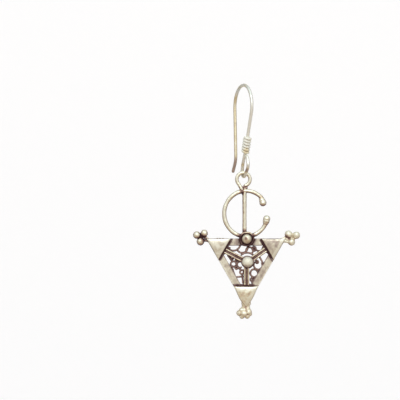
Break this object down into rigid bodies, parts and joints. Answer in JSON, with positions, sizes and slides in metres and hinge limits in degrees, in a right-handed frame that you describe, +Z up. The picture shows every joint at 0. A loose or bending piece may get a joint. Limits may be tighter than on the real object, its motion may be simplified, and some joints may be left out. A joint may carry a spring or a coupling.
{
  "type": "drop earring",
  "caption": "Silver drop earring: a bent wire ear hook with a wound coil, and a swinging pendant like an old cloak pin, an open ring above a pierced triangular plate.",
  "frame": {"origin": "the point inside the arch of the hook that rests in the ear, plumb above the hook's eye", "axes": "+Z up, the pendant's face looks along -Y, +X to the viewer's right; the hook's plane is turned 21.5 degrees from the YZ plane"},
  "size_m": [0.0268, 0.0119, 0.0587],
  "materials": {
    "bright_silver": "polished silver wire, with fine wear scratches",
    "antique_silver": "worn antique silver, with dark oxide in its recesses"
  },
  "bodies": {
    "hook": {"ear_hook": "bright_silver", "hook_coil": "bright_silver"},
    "pendant": {"fibula_pendant": "antique_silver"}
  },
  "joints": [
    {"name": "pendant_swing", "type": "hinge", "parent": "hook", "child": "pendant", "pos_m": [0, 0, -0.02148], "axis": [1, 0, 0], "range_deg": [-90, 80]}
  ]
}
